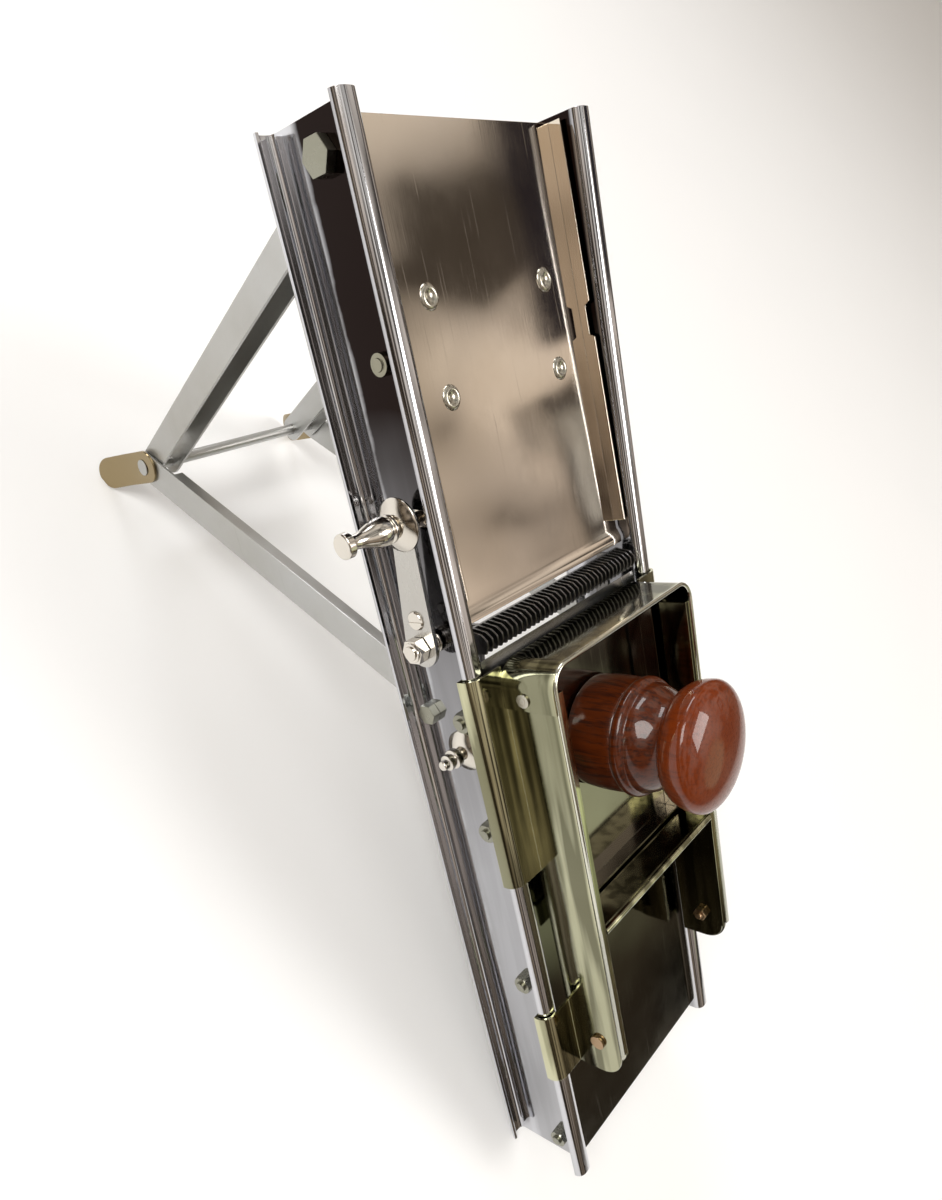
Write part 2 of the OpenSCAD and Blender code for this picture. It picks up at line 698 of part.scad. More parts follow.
module foot() {
    far = foot_l - flare_start + 8;
    difference() {
        intersection() {
            across(-web_x - 30, 0) foot_outline();
            along(foot_y - foot_w, foot_y + foot_w) translate([-foot_x, foot_z - flare_start]) polygon([
                [0, flare_start + toe_r + 4], [stand_t, flare_start + toe_r + 4], [stand_t, 0],
                [stand_t - far * tan(foot_flare), -far], [-far * tan(foot_flare), -far], [0, 0]]);
        }
        rod(-foot_x - 1, -foot_x + stand_t + 1, foot_y, foot_z, axle_d + 2 * run_fit);
    }
}
module left_foot() { color("tan") foot(); }
module right_foot() { color("tan") mirror([1, 0, 0]) foot(); }

// ---- carriage ----
module runner_section() {
    translate([-wall_x, wing_z]) square([car_t, rim_h - wing_z]);
    translate([-runner_x + hook_z, wing_z]) square([runner_x - hook_z - wall_x + e, car_t]);
    intersection() {
        translate([-runner_x + hook_z, wing_z - hook_z]) difference() {
            circle(r = hook_z + car_t);
            circle(r = hook_z);
        }
        translate([-runner_x - car_t, wing_z - hook_z]) square([hook_z + car_t, hook_z + car_t]);
    }
    translate([-runner_x - car_t, -hook_z - car_t]) square([car_t, hook_z + car_t + wing_z - hook_z]);
    translate([-runner_x - e, -hook_z - car_t]) square([6, car_t]);
}
module runner() {
    y_top = car_y0 + wing_tail + window_l;
    difference() {
        along(car_y0, car_y) runner_section();
        // window in the wing
        translate([-runner_x - 5, car_y0 + wing_tail, -20])
            cube([runner_x + 5 - wall_x, window_l, 20 + wing_z + car_t + e]);
        // the front wall bends round the hopper's corner where the side wall stops
        translate([-wall_x - 1, car_y - corner_r, wing_z + car_t]) cube([car_t + 2, corner_r + 1, rim_h]);
        // round lower corner of the wall
        translate([0, car_y0, 0]) across(-wall_x - 1, -wall_x + car_t + 1) difference() {
            translate([-1, rim_h - 12]) square([12, 13]);
            translate([11, rim_h - 12]) circle(r = 11);
        }
        rod(-wall_x - 1, -wall_x + 2, guide_bolt_y, guide_bolt_z, guide_bolt_d);
        corner_rivet_places() rod(-wall_x - 5, -wall_x + 5, 0, 0, corner_rivet_d);
    }
}
module corner_rivet_places() {
    translate([0, car_y - corner_r - 3, 10.3]) children();
}
module left_runner() { color("lightsteelblue") runner(); }
module right_runner() { color("lightsteelblue") mirror([1, 0, 0]) runner(); }
// wall at the upper end of the hopper, with tabs folded round onto the side walls
module front_wall() {
    tab_l = corner_r + 7;
    x = wall_x + 0.05;                     // inner face of the tabs
    y = car_y + 0.05;                      // lower face of the wall
    color("lightblue") difference() {
        translate([0, 0, wing_z + car_t + 0.05]) linear_extrude(rim_h - wing_z - car_t) {
            translate([-x + corner_r, y]) square([2 * (x - corner_r), car_t]);
            both_walls() {
                translate([-x - car_t, car_y - tab_l]) square([car_t, tab_l - corner_r + 0.05]);
                intersection() {
                    translate([-x + corner_r, y - corner_r]) difference() {
                        circle(r = corner_r + car_t);
                        circle(r = corner_r);
                    }
                    translate([-x - car_t, y - corner_r]) square([corner_r + car_t, corner_r + car_t]);
                }
            }
        }
        both_sides() corner_rivet_places() rod(-wall_x - 5, -wall_x + 5, 0, 0, corner_rivet_d);
    }
}
// wall at the lower end of the hopper, with a rolled rim and a turned-out foot
module back_wall() {
    x = guide_x - car_t - 0.4;
    color("lightblue") {
        translate([-x, back_y - car_t, wing_z + 0.5]) cube([2 * x, car_t, rim_h - wing_z - 1.5]);
        rod(-x, x, back_y - car_t, rim_h - 1, 3);
        translate([-x, back_y - car_t - 9, wing_z + 0.5]) cube([2 * x, 9, car_t]);
        both_sides() translate([-guide_x + car_t, back_y - car_t, 12.5]) cube([0.6, 8, 8]);
        both_sides() translate([-guide_x + car_t, back_y - car_t, 12.5]) cube([1.5, car_t, 8]);
    }
}
module carriage_rivets() {
    color("khaki") both_sides() corner_rivet_places() {
        rod(-wall_x - car_t - 0.9, -wall_x + car_t + 0.5, 0, 0, corner_rivet_d);
        rod(-wall_x - car_t - 0.75, -wall_x - car_t - 0.05, 0, 0, corner_rivet_d + 2.6);
        rod(-wall_x + car_t, -wall_x + car_t + 0.5, 0, 0, corner_rivet_d + 1.6);
    }
}
// inner strips that guide the pusher, hemmed to the side walls' rims
module guide() {
    y1 = car_y - corner_r;
    difference() {
        union() {
            translate([-guide_x, car_y0 + 4, rim_h - 12]) cube([car_t, y1 - car_y0 - 4, 12]);
            translate([-wall_x + car_t, car_y0 + 12, rim_h - car_t])
                cube([wall_x - car_t - guide_x + e, y1 - car_y0 - 12, car_t]);
        }
        rod(-guide_x - 1, -guide_x + 2, guide_bolt_y, guide_bolt_z, guide_bolt_d);
        translate([0, car_y0 + 4, 0]) across(-guide_x - 1, -guide_x + car_t + 1) difference() {
            translate([-1, rim_h - 8]) square([8, 9]);
            translate([7, rim_h - 8]) circle(r = 7);
        }
    }
}
module left_guide() { color("lightblue") guide(); }
module right_guide() { color("lightblue") mirror([1, 0, 0]) guide(); }
module guide_bolts() {
    x0 = -guide_x + car_t;
    color("peru") both_sides() {
        rod(-wall_x - 1.2, x0 + 4, guide_bolt_y, guide_bolt_z, guide_bolt_d);
        rod(-wall_x - 1.4, -wall_x, guide_bolt_y, guide_bolt_z, 2 * guide_bolt_d);
        hex(x0, x0 + 2.6, guide_bolt_y, guide_bolt_z, guide_bolt_d + 2.5);
    }
}
// spring clip on the back wall
module latch_clip() {
    y = back_y - car_t;
    color("silver") translate([13, 0, 0]) across(-9, 9) polygon([
        [y, 4], [y, 15], [y - 1.6, 17.4], [y - 5.6, 17.4], [y - 7, 15.6], [y - 5.8, 14.8], [y - 4.8, 16.4],
        [y - 2.4, 16.4], [y - 0.9, 14.4], [y - 0.9, 4]]);
}

// ---- pusher ----
module pusher_plate() {
    lip_h = 7;
    color("whitesmoke") difference() {
        union() {
            translate([-pusher_x, pusher_y0, pusher_z]) cube([2 * pusher_x, pusher_y1 - pusher_y0, car_t]);
            for (y = [pusher_y0, pusher_y1 - car_t]) translate([-pusher_x, y, pusher_z]) cube([2 * pusher_x, car_t, lip_h]);
            both_sides() translate([-pusher_x, pusher_y0, pusher_z]) cube([car_t, pusher_y1 - pusher_y0, lip_h]);
        }
        translate([0, knob_y, 0]) cylinder(d = knob_screw_d, h = 10);
    }
}
module knob_washer() {
    color(steel) translate([0, knob_y, pusher_z + car_t]) difference() {
        cylinder(r = knob_body_r - 2, h = knob_z - pusher_z - car_t);
        translate([0, 0, -1]) cylinder(d = knob_screw_d, h = 9);
    }
}
module knob_screw() {
    color(dark_steel) translate([0, knob_y, 0]) {
        translate([0, 0, pusher_z - 0.5]) cylinder(d = knob_screw_d + 4, h = 0.5);
        translate([0, 0, pusher_z - e]) cylinder(d = knob_screw_d, h = knob_z - pusher_z + screw_in - 2);
    }
}
module pusher_knob() {
    h = knob_h;
    body_h = h * 0.44;
    neck = h * 0.66;
    rim = h * 0.86;
    n = 12;
    color("saddlebrown") translate([0, knob_y, knob_z]) rotate_extrude() difference() {
        polygon(concat(
            [[0, 0], [knob_body_r - 0.8, 0]],
            [for (i = [0:6]) [knob_body_r - 0.8 + 0.8 * sin(i * 15), body_h * 0.12 * i]],
            [[knob_body_r + 0.5, body_h * 0.8], [knob_body_r + 0.5, body_h * 0.9], [knob_body_r - 0.6, body_h]],
            [for (i = [1:n]) let (t = i / n, d = knob_body_r - 0.6 - knob_waist_r)
                [knob_waist_r + d * (1 + cos(180 * t)) / 2, body_h + (neck - body_h) * t]],
            [for (i = [1:n]) let (t = i / n)
                [knob_waist_r + (knob_head_r - knob_waist_r) * sin(90 * t), neck + (rim - neck) * (1 - cos(90 * t))]],
            [for (i = [1:n]) let (t = i / n) [knob_head_r * cos(90 * t), rim + (h - rim) * sin(90 * t)]]));
        translate([-1, -1]) square([1 + knob_screw_d / 2, screw_in + 1]);
    }
}

in_place() left_side_plate();
in_place() right_side_plate();
in_place() lower_plate();
in_place() main_blade();
in_place() blade_rivets();
in_place() plate_bolts();
in_place() plate_nuts();
in_place() guide_studs();
in_place() pivot_bolts();
in_place() pivot_nuts();
in_place() prop_pins();
in_place() lever_stud();
in_place() lever_stud_nut();
in_place() lever_spring();
in_place() run_plate();
in_place() plate_stiffener();
in_place() plate_rivets();
in_place() lift_lug();
in_place() thickness_lever();
in_place() lever_screw();
in_place() lever_disc();
in_place() lever_knob();
in_place() lever_washer();
in_place() comb_shaft();
in_place() comb_disc();
in_place() comb_arms();
in_place() comb_bar();
in_place() comb_teeth();
in_place() left_leg();
in_place() right_leg();
in_place() foot_axle();
in_place() left_strut();
in_place() right_strut();
in_place() left_foot();
in_place() right_foot();
in_place() left_runner();
in_place() right_runner();
in_place() front_wall();
in_place() back_wall();
in_place() carriage_rivets();
in_place() left_guide();
in_place() right_guide();
in_place() guide_bolts();
in_place() latch_clip();
in_place() pusher_plate();
in_place() knob_washer();
in_place() knob_screw();
in_place() pusher_knob();
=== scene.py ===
import json
import math

import bmesh
import bpy
from mathutils import Euler, Matrix, Vector


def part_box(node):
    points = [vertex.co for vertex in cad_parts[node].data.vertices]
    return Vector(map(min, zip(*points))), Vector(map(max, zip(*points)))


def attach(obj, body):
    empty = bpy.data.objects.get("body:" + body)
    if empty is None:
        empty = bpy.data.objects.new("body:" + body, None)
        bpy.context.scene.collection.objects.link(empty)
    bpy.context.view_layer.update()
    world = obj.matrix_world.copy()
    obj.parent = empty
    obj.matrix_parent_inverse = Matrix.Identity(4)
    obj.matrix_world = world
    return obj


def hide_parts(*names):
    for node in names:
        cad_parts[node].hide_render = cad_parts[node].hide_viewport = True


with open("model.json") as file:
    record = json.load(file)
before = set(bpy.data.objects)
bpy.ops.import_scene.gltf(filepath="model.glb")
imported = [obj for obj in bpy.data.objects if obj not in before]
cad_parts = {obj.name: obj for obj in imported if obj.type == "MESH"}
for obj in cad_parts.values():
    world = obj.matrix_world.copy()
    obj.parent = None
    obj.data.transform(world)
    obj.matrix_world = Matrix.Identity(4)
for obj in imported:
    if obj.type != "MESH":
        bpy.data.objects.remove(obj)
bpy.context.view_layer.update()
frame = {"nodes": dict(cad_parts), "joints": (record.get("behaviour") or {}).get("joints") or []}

# ---- the table the slicer stands on, and the place of its rails ----
# The rails lean on the table's plane at the slope of the carriage's own slide.
# Sizes below are millimetres across, up the rails, and square to the bed; the matrix
# puts them on the table in metres.
slide = next(j for j in frame["joints"] if j["name"] == "carriage_slide")
legs_hinge = next(j for j in frame["joints"] if j["name"] == "leg_fold")
slope = math.atan2(slide["axis"][2], slide["axis"][1])
tilt = Matrix.Rotation(slope, 4, "X")
pivot = Vector(legs_hinge["pos_m"])
pivot_y, pivot_z = 389, -18.6
foot_of_rails = pivot - tilt @ Vector((0, pivot_y, pivot_z)) / 1000
rails = Matrix.Translation(foot_of_rails) @ tilt @ Matrix.Scale(0.001, 4)
to_rails = rails.inverted().translation / 1000


class Weave:
    """A shader socket that can be used in sums, and that adds further nodes to its tree."""

    def __init__(self, tree, socket=None):
        self.tree, self.socket = tree, socket

    def node(self, kind, settings=None, links=None, out=0):
        made = self.tree.nodes.new(kind)
        for key, value in (settings or {}).items():
            if key == "stops":
                ramp = made.color_ramp
                while len(ramp.elements) < len(value):
                    ramp.elements.new(0.5)
                for element, (place, colour) in zip(ramp.elements, value):
                    element.position, element.color = place, (*colour, 1)
            else:
                setattr(made, key, value)
        for key, value in (links or {}).items():
            if isinstance(value, Weave):
                self.tree.links.new(value.socket, made.inputs[key])
            else:
                made.inputs[key].default_value = value
        return Weave(self.tree, made.outputs[out])

    def sum(self, operation, a, b):
        return self.node("ShaderNodeMath", {"operation": operation}, {0: a, 1: b})

    def __add__(self, other):
        return self.sum("ADD", self, other)

    __radd__ = __add__

    def __mul__(self, other):
        return self.sum("MULTIPLY", self, other)

    __rmul__ = __mul__

    def __sub__(self, other):
        return self.sum("SUBTRACT", self, other)

    def __rsub__(self, other):
        return self.sum("SUBTRACT", other, self)


table_paint = bpy.data.materials.new("table_paint")
table_paint.use_nodes = True
paint = Weave(table_paint.node_tree)
surface = table_paint.node_tree.nodes["Principled BSDF"]
here = paint.node("ShaderNodeTexCoord", out="Object")
mottle = here.node("ShaderNodeTexNoise", {}, {"Vector": here, "Scale": 6.0, "Detail": 4.0})
tone = here.node("ShaderNodeMix", {"data_type": "RGBA"},
                 {"Factor": mottle, "A": (0.92, 0.93, 0.945, 1), "B": (0.95, 0.96, 0.97, 1)}, out="Result")
table_paint.node_tree.links.new(tone.socket, surface.inputs["Base Color"])
surface.inputs["Roughness"].default_value = 0.6
bm = bmesh.new()
bmesh.ops.create_grid(bm, x_segments=2, y_segments=2, size=3.0)
table_mesh = bpy.data.meshes.new("table_top")
bm.to_mesh(table_mesh)
bm.free()
table_top = bpy.data.objects.new("table_top", table_mesh)
table_mesh.materials.append(table_paint)
bpy.context.collection.objects.link(table_top)

# ---- studio light and camera ----
# Polished sheet mirrors a dim room with light and dark shapes and a bright greenish side;
# the camera itself sees a plain pale backdrop. Three soft panels light the table.
room = bpy.data.worlds.new("room")
room.use_nodes = True
bpy.context.scene.world = room
air = Weave(room.node_tree)
looking = air.node("ShaderNodeTexCoord", out="Generated")
height = looking.node("ShaderNodeSeparateXYZ", {}, {0: looking}, out="Z")
walls = looking.node("ShaderNodeValToRGB", {"stops": [
    (0.0, (0.2, 0.19, 0.16)), (0.45, (0.06, 0.05, 0.04)), (0.56, (0.22, 0.17, 0.12)),
    (0.74, (0.85, 0.74, 0.64)), (0.86, (0.95, 0.87, 0.78)), (1.0, (1.0, 0.98, 0.94))]},
    {0: height * 0.5 + 0.5})
furniture = looking.node("ShaderNodeTexNoise", {}, {
    "Vector": looking, "Scale": 4.2, "Detail": 2.0, "Roughness": 0.45})
shade = looking.node("ShaderNodeValToRGB", {"stops": [
    (0.42, (0.1, 0.09, 0.08)), (0.46, (0.6, 0.58, 0.56)), (0.6, (1.3, 1.28, 1.25))]}, {0: furniture})
walls = looking.node("ShaderNodeMix", {"data_type": "RGBA", "blend_type": "MULTIPLY"},
                     {"Factor": 1.0, "A": walls, "B": shade}, out="Result")
leaned = looking.node("ShaderNodeMapping", {"vector_type": "VECTOR"},
                      {"Vector": looking, "Rotation": (-slope, 0, 0)})
wobble = looking.node("ShaderNodeTexNoise", {}, {"Vector": leaned, "Scale": 3.0, "Detail": 1.0})
side, along, up = (leaned.node("ShaderNodeSeparateXYZ", {}, {0: leaned}, out=axis) for axis in "XYZ")
up = looking.sum("MAXIMUM", up, 0.08)
side = looking.sum("DIVIDE", side, up) + wobble * 0.22 - 0.11
along = looking.sum("DIVIDE", along, up) + wobble * 0.3 - 0.15


def pane(left, right, near, far, soft, lean=0.0):
    """A soft-edged leaning rectangle on the ceiling over the bed, as a mask."""
    edges = []
    for across_it, low, high in ((side + along * lean, left, right), (along, near, far)):
        for limit, sign in ((low, 1), (high, -1)):
            edges.append(looking.node("ShaderNodeMapRange", {}, {
                "Value": (across_it - limit) * sign, "From Min": -soft, "From Max": soft}))
    return edges[0] * edges[1] * edges[2] * edges[3]


door = pane(1.33, 1.8, 0.02, 0.6, 0.012, 0.12)
window = pane(1.24, 1.5, -0.36, -0.06, 0.01, 0.3)
glass = pane(1.285, 1.35, -0.31, -0.12, 0.006, 0.3) + pane(1.37, 1.44, -0.3, -0.13, 0.006, 0.3)
for mask, colour in ((door, (0.03, 0.025, 0.03, 1)), (window, (0.045, 0.035, 0.03, 1)),
                     (glass, (0.75, 0.72, 0.66, 1))):
    walls = looking.node("ShaderNodeMix", {"data_type": "RGBA"},
                         {"Factor": mask, "A": walls, "B": colour}, out="Result")
toward_yard = looking.node("ShaderNodeVectorMath", {"operation": "DOT_PRODUCT"},
                           {0: looking, 1: (0.6, -0.74, 0.3)}, out="Value")
yard = looking.node("ShaderNodeMapRange", {}, {
    "Value": toward_yard + wobble * 0.02, "From Min": 0.987, "From Max": 1.0})
walls = looking.node("ShaderNodeMix", {"data_type": "RGBA"},
                     {"Factor": yard, "A": walls, "B": (0.95, 1.0, 0.66, 1)}, out="Result")
seen_straight = looking.node("ShaderNodeLightPath", out="Is Camera Ray")
walls = looking.node("ShaderNodeMix", {"data_type": "RGBA"},
                     {"Factor": seen_straight, "A": walls, "B": (1.2, 1.2, 1.2, 1)}, out="Result")
room.node_tree.links.new(walls.socket, room.node_tree.nodes["Background"].inputs["Color"])
room.node_tree.nodes["Background"].inputs["Strength"].default_value = 0.75


def soft_panel(name, place, aim, wide, tall, watts, colour):
    lamp = bpy.data.lights.new(name, "AREA")
    lamp.shape, lamp.size, lamp.size_y = "RECTANGLE", wide, tall
    lamp.energy, lamp.color = watts, colour
    stand = bpy.data.objects.new(name, lamp)
    stand.location = place
    stand.rotation_euler = (Vector(aim) - Vector(place)).to_track_quat("-Z", "Y").to_euler()
    bpy.context.collection.objects.link(stand)


soft_panel("window_panel", (-1.1, 0.5, 1.5), (0, 0, 0.1), 1.0, 0.7, 19, (1.0, 0.99, 0.96))
soft_panel("ceiling_panel", (0.7, -0.9, 1.7), (0, 0, 0.1), 0.8, 0.8, 15, (1.0, 0.98, 0.95))
soft_panel("back_panel", (0.2, 1.5, 1.0), (0, 0, 0.1), 0.9, 0.4, 9, (0.97, 0.98, 1.0))

lens = bpy.data.cameras.new("camera")
lens.sensor_fit, lens.sensor_height, lens.lens = "VERTICAL", 36, 24.97
lens.shift_x, lens.shift_y = -0.0009, 0.0681
lens.clip_start = 0.01
camera = bpy.data.objects.new("camera", lens)
camera.location = rails @ Vector((-235.205, 330.887, 181.556))
aim = Euler([math.radians(a) for a in (-8.4908, -47.5231, -17.5313)]).to_matrix()
camera.rotation_euler = (tilt.to_3x3() @ aim).to_euler()
bpy.context.collection.objects.link(camera)
bpy.context.scene.camera = camera
bpy.context.scene.view_settings.view_transform = "Standard"


# ---- side plates ----
# Two long steel plates with both edges rolled outwards, pressed from one sheet each and
# polished to a mirror; bolts through them carry the bed, the stand and the levers.
def steel(name, colour, rough, hairs=0.5, smears=0.06, waves=0.02, tarnish=(0.8, 0.74, 0.62),
          stain=0.25, painted_dark_reflection_band=None, painted_reflection_streaks=0.0):
    """Stainless sheet with fine scratches along the rails, smears in the polish and slow waves.

    Streak strength paints darker reflection streaks along the rails into the colour; the band (low, high,
    colour) paints a dark reflection over that height range towards the upper end.
    """
    metal = bpy.data.materials.new(name)
    metal.use_nodes = True
    tree = metal.node_tree
    face = tree.nodes["Principled BSDF"]
    start = Weave(tree)
    spot = start.node("ShaderNodeTexCoord", out="Object")
    placed = spot.node("ShaderNodeMapping", {}, {"Vector": spot, "Rotation": (-slope, 0, 0),
                                                 "Location": to_rails})
    lined = placed.node("ShaderNodeMapping", {}, {"Vector": placed, "Scale": (1, 0.03, 1)})
    fine = lined.node("ShaderNodeTexNoise", {}, {
        "Vector": lined, "Scale": 2600.0, "Detail": 3.0, "Roughness": 0.6})
    crossed = placed.node("ShaderNodeMapping", {}, {
        "Vector": placed, "Rotation": (0, 0, 0.9), "Scale": (1, 0.02, 1)})
    stray = crossed.node("ShaderNodeTexNoise", {}, {"Vector": crossed, "Scale": 900.0, "Detail": 2.0})
    stray = stray.node("ShaderNodeMapRange", {}, {"Value": stray, "From Min": 0.66, "From Max": 0.74})
    smear = spot.node("ShaderNodeTexNoise", {}, {
        "Vector": spot, "Scale": 34.0, "Detail": 5.0, "Roughness": 0.62})
    smear = smear.node("ShaderNodeMapRange", {}, {"Value": smear, "From Min": 0.4, "From Max": 0.75})
    patch = spot.node("ShaderNodeTexNoise", {}, {"Vector": spot, "Scale": 11.0, "Detail": 3.0})
    patch = patch.node("ShaderNodeMapRange", {}, {"Value": patch, "From Min": 0.35, "From Max": 0.7})
    warm = tuple(c * t for c, t in zip(colour, tarnish))
    stained = patch * stain + smear * 0.1
    tint = spot.node("ShaderNodeMix", {"data_type": "RGBA"},
                     {"Factor": stained, "A": (*colour, 1), "B": (*warm, 1)}, out="Result")
    # painted reflection: darker streaks along the rails painted into the colour, standing in for the room
    # mirrored in the polish
    if painted_reflection_streaks:
        drawn = placed.node("ShaderNodeMapping", {}, {"Vector": placed, "Scale": (1, 0.06, 1)})
        streak = drawn.node("ShaderNodeTexNoise", {}, {
            "Vector": drawn, "Scale": 170.0, "Detail": 2.5, "Distortion": 0.3})
        streak = streak.node("ShaderNodeMapRange", {}, {"Value": streak, "From Min": 0.44, "From Max": 0.58})
        painted_streak_colour = tuple(c * 0.25 for c in warm)
        tint = spot.node("ShaderNodeMix", {"data_type": "RGBA"},
                         {"Factor": streak * painted_reflection_streaks, "A": tint, "B": (*painted_streak_colour, 1)}, out="Result")
    # painted reflection: a dark band over a height range, strongest towards the upper end, painted into the
    # colour in place of dark surroundings mirrored in the sheet
    if painted_dark_reflection_band:
        low, high, dark = painted_dark_reflection_band
        level = placed.node("ShaderNodeSeparateXYZ", {}, {0: placed}, out="Z")
        along = placed.node("ShaderNodeSeparateXYZ", {}, {0: placed}, out="Y")
        above = level.node("ShaderNodeMapRange", {}, {"Value": level + smear * 0.002, "From Min": low / 1000,
                                                      "From Max": (low + 3) / 1000})
        below = level.node("ShaderNodeMapRange", {}, {"Value": level, "From Min": (high - 2) / 1000,
                                                      "From Max": high / 1000, "To Min": 1.0, "To Max": 0.0})
        upper = along.node("ShaderNodeMapRange", {}, {"Value": along + patch * 0.05, "From Min": 0.15,
                                                      "From Max": 0.36, "To Min": 0.35, "To Max": 1.0})
        tint = spot.node("ShaderNodeMix", {"data_type": "RGBA"},
                         {"Factor": above * below * upper, "A": tint, "B": (*dark, 1)}, out="Result")
    tree.links.new(tint.socket, face.inputs["Base Color"])
    polish = smear * smears + fine * (0.06 * hairs) + stray * (0.1 * hairs) + rough
    tree.links.new(polish.socket, face.inputs["Roughness"])
    swell = spot.node("ShaderNodeTexNoise", {}, {"Vector": spot, "Scale": 16.0, "Detail": 1.0})
    slow = spot.node("ShaderNodeBump", {}, {"Strength": waves, "Distance": 0.02, "Height": swell})
    relief = spot.node("ShaderNodeBump", {}, {"Strength": 0.035 * hairs, "Distance": 0.0001,
                                              "Height": fine + stray * 0.8, "Normal": slow})
    tree.links.new(relief.socket, face.inputs["Normal"])
    face.inputs["Metallic"].default_value = 1.0
    return metal


def dressed(node, body, finish, edge=0.15):
    """A CAD piece with its loose triangles joined and the sheet's sharp edges eased, in millimetres."""
    mesh = frame["nodes"][node].data.copy()
    bm = bmesh.new()
    bm.from_mesh(mesh)
    bmesh.ops.remove_doubles(bm, verts=bm.verts, dist=0.000002)
    bmesh.ops.dissolve_limit(bm, angle_limit=math.radians(0.6), verts=bm.verts, edges=bm.edges)
    if edge:
        corners = [e for e in bm.edges if len(e.link_faces) == 2 and e.calc_face_angle(0) > math.radians(35)]
        bmesh.ops.bevel(bm, geom=corners, offset=edge / 1000, offset_type="OFFSET", segments=2, profile=0.5,
                        affect="EDGES", clamp_overlap=True, material=-1)
    for face in bm.faces:
        face.smooth = True
    for e in bm.edges:
        e.smooth = len(e.link_faces) == 2 and e.calc_face_angle(0) < math.radians(32)
    bm.to_mesh(mesh)
    bm.free()
    mesh.name = node + "_finished"
    piece = bpy.data.objects.new(node + "_finished", mesh)
    bpy.context.collection.objects.link(piece)
    mesh.materials.clear()
    mesh.materials.append(finish)
    weigh = piece.modifiers.new("flat_faces", "WEIGHTED_NORMAL")
    weigh.keep_sharp = True
    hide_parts(node)
    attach(piece, body)


def formed(name, bm, finish, body, in_place_of=None):
    """A piece made here from a closed mesh, in place of a CAD node or as an addition to its body."""
    mesh = bpy.data.meshes.new(name)
    bm.to_mesh(mesh)
    bm.free()
    mesh.materials.append(finish)
    piece = bpy.data.objects.new(name, mesh)
    bpy.context.collection.objects.link(piece)
    if in_place_of:
        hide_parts(in_place_of)
    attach(piece, body)


# the side plates' web carries a painted dark reflection towards the upper end and faint painted reflection
# streaks
rail_steel = steel("rail_steel", (0.64, 0.65, 0.69), 0.06, hairs=0.5, waves=0.035, tarnish=(0.9, 0.86, 0.8),
                   painted_dark_reflection_band=(-29, -2.5, (0.014, 0.009, 0.008)), painted_reflection_streaks=0.12)
for node in ("left_side_plate", "right_side_plate"):
    dressed(node, "frame", rail_steel, edge=0.2)

# ---- lower plate and main blade ----
# The lower plate is a tray turned upside down between the side plates; the blade is a
# hardened strip riveted on its upper end, ground on top to a bright edge.
bed_steel = steel("bed_steel", (0.74, 0.68, 0.61), 0.04, hairs=0.8, waves=0.045, stain=0.6)
tray_steel = steel("tray_steel", (0.13, 0.125, 0.1), 0.05, hairs=0.7, stain=0.4)
dressed("lower_plate", "frame", tray_steel)
blade_steel = steel("blade_steel", (0.5, 0.5, 0.5), 0.16, hairs=1.0)
dressed("main_blade", "frame", blade_steel, edge=0)
rivet_steel = steel("rivet_steel", (0.52, 0.5, 0.44), 0.2)
dressed("blade_rivets", "frame", rivet_steel)

# ---- bolts and nuts of the frame ----
# Dulled hexagon nuts on the outside of the side plates, screwed on bolts whose heads lie
# inside, and the plain studs and pins beside them.
bolt_steel = steel("bolt_steel", (0.3, 0.3, 0.25), 0.17, hairs=1.0, smears=0.25, stain=0.6)
for node in ("plate_bolts", "plate_nuts", "guide_studs", "pivot_bolts", "pivot_nuts", "prop_pins"):
    dressed(node, "frame", bolt_steel, edge=0.25)

# ---- run plate ----
# The hinged plate that food slides over: one polished sheet with low upstands, a ramped lip
# at its lower end, a channel riveted under it and an ear for the thickness lever.
for node in ("run_plate", "plate_stiffener", "lift_lug"):
    dressed(node, "run_plate", bed_steel)
rivet_profile = ((0, 0.25), (1.7, 0.25), (2.1, 0.75), (2.6, 0.95),
                 (3.2, 0.85), (3.8, 0.3), (4.1, 0.02), (4.1, -0.2))
lip_y, lip_z, plate_fall = 248, -8, 3.5 / 141
bm = bmesh.new()
for across in (-30, 30):
    for up in (319, 349):
        on_plate = Matrix.Translation((across, up, lip_z - (up - lip_y) * plate_fall))
        seat = on_plate @ Matrix.Rotation(-plate_fall, 4, "X")
        points = [bm.verts.new(seat @ Vector((radius, 0, height))) for radius, height in rivet_profile]
        lines = [bm.edges.new(pair) for pair in zip(points, points[1:])]
        bmesh.ops.spin(bm, geom=points + lines, cent=seat @ Vector(), axis=seat.to_3x3() @ Vector((0, 0, 1)),
                       angle=math.tau, steps=48, use_merge=True)
bmesh.ops.remove_doubles(bm, verts=bm.verts, dist=0.001)
bmesh.ops.recalc_face_normals(bm, faces=bm.faces)
bmesh.ops.transform(bm, matrix=rails, verts=bm.verts)
for face in bm.faces:
    face.smooth = True
formed("rivet_heads", bm, rivet_steel, "run_plate", "plate_rivets")

# ---- thickness lever ----
# A steel bar on a stud, with a turned knob to hold it by, a saucer-shaped disc, a black
# washer behind the bar, and a spring on the stud that presses the bar against its nut.
turned_steel = steel("turned_steel", (0.68, 0.65, 0.60), 0.1, hairs=0.7)
bar_steel = steel("bar_steel", (0.5, 0.49, 0.47), 0.22, hairs=1.2)
washer_black = steel("washer_black", (0.03, 0.03, 0.03), 0.35)
for node in ("lever_stud", "lever_stud_nut"):
    dressed(node, "frame", turned_steel, edge=0.2)
low, high = (Vector(corner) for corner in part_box("lever_spring"))
coil_middle = (low + high) / 2
wire, turns, steps = 0.00055, 4, 26
coil_radius = (high.y - low.y) / 2 - wire
bm = bmesh.new()
bmesh.ops.create_circle(bm, segments=10, radius=wire, matrix=Matrix.Translation(
    (low.x + wire, coil_middle.y + coil_radius, coil_middle.z)))
pitch = (high.x - low.x - 2 * wire) / (turns * steps)
